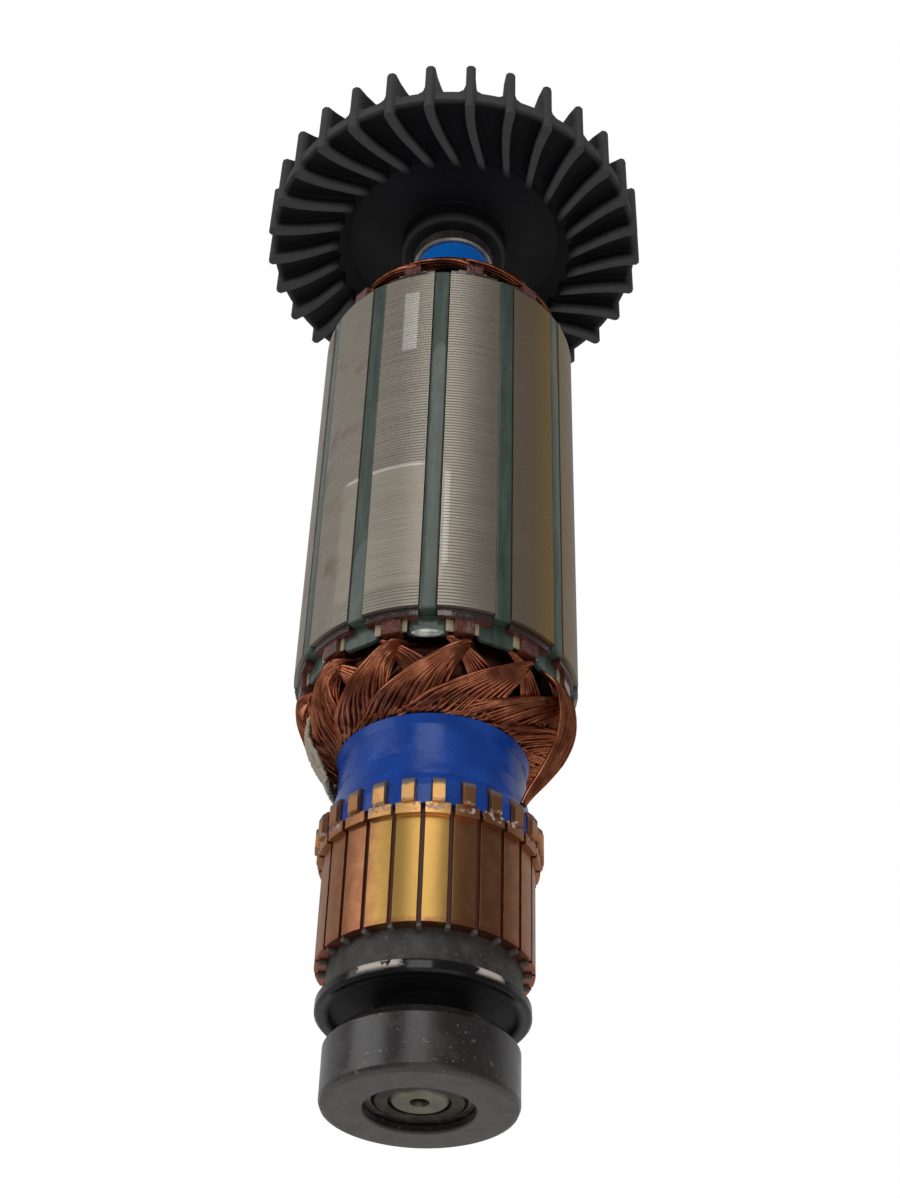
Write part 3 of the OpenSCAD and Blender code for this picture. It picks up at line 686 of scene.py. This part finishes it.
def fanned(reach, crest, depth, stack):
    """Stations of a wire that leaves its slot, rounds the post and slopes down to the left."""
    angle, height = APEX_ANGLE, APEX_HEIGHT + stack * 0.4
    stations = [(0.5, -1.5, 3.7), (0, 1.5, 3.7), (-3.5, 2.8, 3.5), (-8, 3.4, 2.9),
                (-11, 3.8 + stack * 0.25, 1.4 + stack * 0.6), (angle, height, 0.35 + stack * 0.8)]
    drop = crest - height
    steps = math.ceil(reach / 6)
    for k in range(1, steps + 1):
        angle = APEX_ANGLE - reach * k / steps
        height = crest - drop * (1 - climb(APEX_ANGLE - angle) / climb(reach))
        stations.append((angle, height, depth + COVER_DEPTH * covered(angle, height)))
    inner = min(angle - 20, -125)
    stations += [(angle - 8, crest - 1.2, 3.2), ((angle + inner) / 2, crest - 1.4, 3.8),
                 (inner, crest - 1.8, 4.2), (-143, crest - 3, 4.8), (-150, 5, 5.4),
                 (-150, 1.5, 6.2), (-150, -1.5, 6.4)]
    return stations


def laid(stations, slot, profile, base, direction, wobble):
    """Turns stations into places on the armature, with a little slack in each wire."""
    points = []
    for k, (angle, height, depth) in enumerate(curve_through(stations, 3)):
        slack = math.sin(k * 0.55 + wobble * 9) * SLACK
        radius = outside(profile, height) - SURFACE_INSET - depth + slack
        points.append(around(SLOT_ANGLE + 360 / SLOTS * slot + angle, radius,
                             base + direction * (height + slack)))
    return points


print("a wire of full reach has", len(fanned(FAR, 11.1, 0.05, 0.1)), "stations")


# %% [markdown]
# A coil has three sorts of wires at each end: four layers that fan out to the left, a few that
# cross to the right, as the other half of the turns does, and a comb of short ones that fills
# the dark place under the wedge.

# %% The wires of one coil's end
LAYERS = ((0, 14), (1, 13), (2, 10), (3, 9))
CROSSING, CROSSING_START, CROSSING_STEP = 8, 11, 7
COMB, COMB_WIDTH = 12, 15


def fanning(crest, chance):
    for layer, count in LAYERS:
        for k in range(count):
            share = max(0, k + 0.5 * (layer % 2) + chance.uniform(-0.15, 0.15)) / count
            reach = FAR + (NEAR - FAR) * share
            lowest = crest + chance.uniform(-0.2, 0.2) - layer * 0.35
            stack = 0.1 + 1.3 * share + layer * 0.3
            yield fanned(reach, lowest, 0.05 + layer * 0.44, stack)


def crossing(crest):
    for k in range(CROSSING):
        share = k / (CROSSING - 1)
        slope = 0.16 + 0.22 * share
        angle, height = CROSSING_START, 3.3 + share * 0.5
        stations = [(0, -1.5, 3.4), (0, 1.0, 3.0), (5, 2.2, 2.2),
                    (angle, height, 1.5 + share * 0.4)]
        while height < crest - 1.5:
            angle, height = angle + CROSSING_STEP, height + CROSSING_STEP * slope
            stations.append((angle, height, 1.6 + share * 0.3))
        stations.append((angle + 12, crest - 1.2, 2.4))
        yield stations


def combed():
    for k in range(COMB):
        start = -COMB_WIDTH / 2 + COMB_WIDTH * k / (COMB - 1)
        yield [(start, -1.5, 3.5), (start, 1.5, 3.4), (start - 2, 4.2, 3.2),
               (start - 9, 6.2, 3.3), (start - 20, 7.4, 3.8)]


print("wires at each end of a coil:", sum(n for _, n in LAYERS) + CROSSING + COMB)


# %% [markdown]
# Twelve coils, each with its own chances, take the places of the plain bundles. Each end has its
# own profile, and its crest is how far the wires reach from the core.

# %% Twelve coils of wire
WIRE = 0.27
COIL_ENDS = ((FRONT_PROFILE, CORE_LOW, -1, 11.1), (BACK_PROFILE, CORE_HIGH, 1, 8.7))


def coil(slot):
    chance = random.Random(40 + slot)
    paths = []
    for profile, base, direction, crest in COIL_ENDS:
        for sort in (fanning(crest, chance), crossing(crest), combed()):
            for stations in sort:
                paths.append(laid(stations, slot, profile, base, direction, chance.random()))
    piece = wires("coil_wires_%02d" % (slot + 1), paths, WIRE, enamel)
    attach(piece, "rotor")
    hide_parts("coil_%02d" % (slot + 1))
    return piece


coils = [coil(slot) for slot in range(SLOTS)]
print(len(coils), "coils,", sum(len(c.data.polygons) for c in coils), "faces")


# %% [markdown]
# On the right a loose bundle of leads leaves the winding, hangs outside it and gathers above a
# hook. Eleven wires share one course: spread out at the top and drawn together at the foot.

# %% Loose leads
LEADS = 11
FRONT = 90
# Angle, spread, height, radius, and how much of the depth counts there.
LEAD_COURSE = [(57, 9, 54.4, 14.8, 0), (58, 11, 52.2, 16.3, 0), (61.5, 13, 50.0, 18.0, 1),
               (66, 14, 46.5, 17.9, 1), (67, 12, 43, 16.7, 1), (64, 8, 39.5, 15.0, 1),
               (58.5, 4, 36.4, 13.6, 0.6), (55, 2, 34.6, 13.1, 0.4)]


def leads():
    chance = random.Random(7)
    paths = []
    for k in range(LEADS):
        share = k / (LEADS - 1) - 0.5
        deep = chance.uniform(0, 0.5)
        course = [(angle + share * spread, height, radius - deep * depth)
                  for angle, spread, height, radius, depth in LEAD_COURSE]
        paths.append([around(angle - FRONT, radius, height)
                      for angle, height, radius in curve_through(course, 4)])
    piece = wires("lead_wires", paths, WIRE, enamel)
    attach(piece, "rotor")
    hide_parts("lead_bundle")
    return piece


print(LEADS, "leads,", len(leads().data.polygons), "faces")


# %% [markdown]
# The wedges are strips with a T section: a wide foot inside the slot and a narrow bar that fills
# the slot's mouth. The bar stops just past the core, and the foot goes on with rounded corners.
# We start each strip from two cubes, round the foot's corners in edit mode and bevel the rest.

# %% A block at a place on the armature
def block(angle, near, far, left, side, bottom, height):
    """A cube from radius near to far and from left to side across it, turned round the shaft."""
    bpy.ops.object.select_all(action="DESELECT")
    bpy.ops.mesh.primitive_cube_add(size=1, location=(0, 0, 0))
    made = bpy.context.object
    middle = Vector(((near + far) / 2, (left + side) / 2, (bottom + height) / 2)) * MM
    size = Matrix.Diagonal(((far - near) * MM, (side - left) * MM, (height - bottom) * MM, 1))
    made.data.transform(Matrix.Translation(middle) @ size)
    return made, Matrix.Rotation(math.radians(angle), 4, "Z")


def soften(made, width, segments=3):
    made.modifiers.new("edges", "BEVEL")
    made.modifiers["edges"].width = width * MM
    made.modifiers["edges"].segments = segments
    bpy.ops.object.modifier_apply(modifier="edges")


def joined(name, blocks, material):
    bpy.ops.object.select_all(action="DESELECT")
    for made in blocks:
        made.select_set(True)
    bpy.context.view_layer.objects.active = blocks[0]
    bpy.ops.object.join()
    piece = bpy.context.object
    piece.name = name
    bpy.ops.object.shade_smooth_by_angle(angle=math.radians(40))
    piece.data.materials.clear()
    piece.data.materials.append(material)
    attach(piece, "rotor")
    return piece


print("blocks lie between", CORE_LOW - 2.8, "and", CORE_HIGH + 2.8, "mm")


# %% [markdown]
# The foot's four upright corners are found by their edges, which run along the radius, and get a
# wide round bevel. The bar needs only a slight one all round.

# %% Twelve wedge strips
# Inner radius, outer radius and half width of each part, then its bevels.
FOOT = (15.7, 16.4, 2.55)
BAR = (16.35, 18.05, 1.1)
FOOT_CORNER, FOOT_EDGE, BAR_EDGE = 0.8, 0.12, 0.25
BAR_PAST_CORE = 0.5


def wedge(slot):
    angle = SLOT_ANGLE + 360 / SLOTS * slot
    near, far, half = FOOT
    foot, turn = block(angle, near, far, -half, half, low("slot_wedges"), high("slot_wedges"))
    bpy.ops.object.mode_set(mode="EDIT")
    bpy.ops.mesh.select_all(action="DESELECT")
    bpy.ops.object.mode_set(mode="OBJECT")
    for edge in foot.data.edges:
        ends = [foot.data.vertices[v].co for v in edge.vertices]
        edge.select = abs(ends[0].x - ends[1].x) > 0.5 * MM * (far - near)
    bpy.ops.object.mode_set(mode="EDIT")
    bpy.ops.mesh.select_mode(type="EDGE")
    bpy.ops.mesh.bevel(offset=FOOT_CORNER * MM, segments=5, affect="EDGES")
    bpy.ops.object.mode_set(mode="OBJECT")
    soften(foot, FOOT_EDGE)
    foot.data.transform(turn)
    near, far, half = BAR
    bar, turn = block(angle, near, far, -half, half,
                      CORE_LOW - BAR_PAST_CORE, CORE_HIGH + BAR_PAST_CORE)
    soften(bar, BAR_EDGE)
    bar.data.transform(turn)
    return [foot, bar]


strips = joined("wedge_strips", [made for slot in range(SLOTS) for made in wedge(slot)],
                fibre)
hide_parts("slot_wedges")
print("wedge strips", len(strips.data.polygons), "faces")


# %% [markdown]
# Beside every post the ends of the slot paper stick out as short buff flaps.

# %% Paper flaps
FLAP_NEAR, FLAP_FAR = 16.42, 16.7
FLAP_SIDES = ((-2.2, -1.22), (1.22, 1.85))
FLAP_HEIGHTS = ((CORE_LOW - 2.8, CORE_LOW - 1.15), (CORE_HIGH + 1.15, CORE_HIGH + 2.4))


def flaps():
    made = []
    for k in range(SLOTS):
        for left, side in FLAP_SIDES:
            for bottom, height in FLAP_HEIGHTS:
                flap, turn = block(SLOT_ANGLE + 360 / SLOTS * (k + 0.5), FLAP_NEAR, FLAP_FAR,
                                   left, side, bottom, height)
                soften(flap, 0.06, 2)
                flap.data.transform(turn)
                made.append(flap)
    return joined("paper_flaps", made, paper)


print("paper flaps", len(flaps().data.polygons), "faces")


# %% [markdown]
# Two small things finish the winding. The first is a drop of varnish that has set on the end of
# the wedge in front: a flattened ball, cloudy inside and clear on top.

# %% Varnish drop
def clear_varnish(p):
    cloud = p.ramp(p.noise(1.6, 2), 0.3, 0.7)
    return {"Base Color": mix(cloud, (0.16, 0.19, 0.155), (0.42, 0.43, 0.39)),
            "Roughness": 0.12 + cloud * 0.1}


def varnish_drop():
    bpy.ops.object.select_all(action="DESELECT")
    turn = math.radians(SLOT_ANGLE)
    place = Vector((16.25, 0, low("slot_wedges") + 0.35)) * MM
    spin = Matrix.Rotation(turn, 4, "Z") @ Matrix.Translation(place)
    bpy.ops.mesh.primitive_uv_sphere_add(segments=48, ring_count=24, radius=MM)
    drop = bpy.context.object
    drop.name = "varnish_drop"
    drop.data.transform(spin @ Matrix.Diagonal((0.42, 2.0, 0.6, 1)))
    bpy.ops.object.shade_smooth()
    drop.data.materials.append(finish("clear_varnish", clear_varnish, edge=0, coat_weight=1.0))
    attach(drop, "rotor")
    return drop


print(varnish_drop().name, "set on the front wedge")


# %% [markdown]
# The second is a binding of cotton cord on the far left, which keeps the wires together. It is a
# loose criss-cross of short strands, so each strand gets its own chances at every key.

# %% Binding cord
STRANDS, FIRST_STRAND, STRAND_STEP = 46, -80, 1.7
CORD_RADIUS, CORD_FUZZ = 0.28, 0.12
# Least and greatest shift in angle, height and radius.
CORD_COURSE = [(1, 13, 50, 15.0), (-4, 4, 48.0, 15.9), (-8, 0, 46, 15.3),
               (-13, -3, 43.6, 13.9), (-16, -4, 41.4, 12.9)]


def cotton_cord(p):
    fibres = p.noise(0.3, 4, 0.7)
    return {"Base Color": mix(fibres, (0.24, 0.20, 0.145), (0.46, 0.41, 0.32)), "Roughness": 0.8,
            "bump": fibres * 0.15}


def binding_cord():
    chance = random.Random(3)
    paths = []
    for k in range(STRANDS):
        start = FIRST_STRAND - STRAND_STEP * k
        course = [(start + chance.uniform(least, most), height, radius)
                  for least, most, height, radius in CORD_COURSE]
        path = []
        for angle, height, radius in curve_through(course, 8):
            radius += chance.uniform(-CORD_FUZZ, CORD_FUZZ)
            height += chance.uniform(-CORD_FUZZ, CORD_FUZZ)
            path.append(around(angle - FRONT, radius, height))
        paths.append(path)
    cotton = finish("cotton_cord", cotton_cord, edge=0)
    piece = wires("binding_cord", paths, CORD_RADIUS, cotton)
    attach(piece, "rotor")
    return piece


print(STRANDS, "strands,", len(binding_cord().data.polygons), "faces")


# %% [markdown]
# The stage is a plain pale floor and even light. The camera stands lower than the floor, so the
# floor only shows from above: seen from below it is clear, and it lets lamp light through.

# %% Floor
bpy.ops.object.select_all(action="DESELECT")
bpy.ops.mesh.primitive_plane_add(size=3, location=(0, 0, box_before[0][2] - 0.0002))
floor = bpy.context.object
floor.name = "floor"
pale = bpy.data.materials.new("pale_floor")
pale.use_nodes = True
pale.node_tree.nodes.clear()
base = Socket(pale.node_tree)
seen = base.node("LightPath", output="Is Camera Ray")
behind = base.node("NewGeometry", output="Backfacing")
solid = base.node("BsdfDiffuse", inputs={"Color": (0.86, 0.86, 0.85, 1)})
clear = base.node("BsdfTransparent")
shown = base.node("MixShader", inputs={0: seen * (1 - behind), 1: clear, 2: solid})
base.node("OutputMaterial", inputs={"Surface": shown})
floor.data.materials.append(pale)
print("floor at", round(box_before[0][2] - 0.0002, 5))


# %% [markdown]
# The world is white behind the object, where the camera, metal and gloss look at it, and a
# little darker on the side of the viewer, so that metal has something to model its roundness.
# What lights the surfaces is a softer grey.

# %% World
world = bpy.data.worlds.new("studio")
bpy.context.scene.world = world
world.use_nodes = True
world.node_tree.nodes.clear()
sky = Socket(world.node_tree)
path_kind = {k: sky.node("LightPath", output=k)
             for k in ("Is Camera Ray", "Is Glossy Ray", "Is Transmission Ray")}
direction = sky.node("TexCoord", output="Generated")
ahead = sky.node("SeparateXYZ", inputs={0: direction}, output=1)
room = sky.node("MapRange", {"interpolation_type": "SMOOTHSTEP"},
                {"Value": ahead, "From Min": -0.15, "From Max": 0.45, "To Min": 0.14, "To Max": 0.5})
to_camera = path_kind["Is Camera Ray"] + path_kind["Is Transmission Ray"]
light = sky.node("Background", inputs={"Color": (1, 1, 1, 1), "Strength": 0.62})
mirrored = sky.node("Background", inputs={"Color": (1, 1, 1, 1), "Strength": room})
white = sky.node("Background", inputs={"Color": (1, 1, 1, 1), "Strength": 1.0})
plain = sky.node("MixShader", inputs={0: path_kind["Is Glossy Ray"], 1: light, 2: mirrored})
shown = sky.node("MixShader", inputs={0: to_camera, 1: plain, 2: white})
sky.node("OutputWorld", inputs={"Surface": shown})
print("world", world.name, "with", len(world.node_tree.nodes), "nodes")


# %% [markdown]
# Three soft lamps: a panel above the viewer that the copper bars mirror, a broad one from the
# left, and a weak one below for the faces that look down.

# %% Lamps
LAMP_TARGET = (0, 0, 0.07)


def lamp(name, place, size, power):
    bpy.ops.object.light_add(type="AREA", location=place)
    made = bpy.context.object
    made.name = name
    made.data.shape = "RECTANGLE"
    made.data.size, made.data.size_y = size
    made.data.energy = power
    aim = Vector(LAMP_TARGET) - Vector(place)
    made.rotation_euler = aim.to_track_quat("-Z", "Y").to_euler()
    print(name, power, "W")


lamp("panel_above", (-0.12, -1.24, 1.03), (0.68, 1.0), 5.2)
lamp("panel_left", (-1.35, -0.65, 0.42), (1.1, 1.1), 6.6)
lamp("panel_below", (0.1, -0.5, -0.45), (0.7, 0.5), 1.0)
bpy.context.scene.view_settings.view_transform = "Standard"
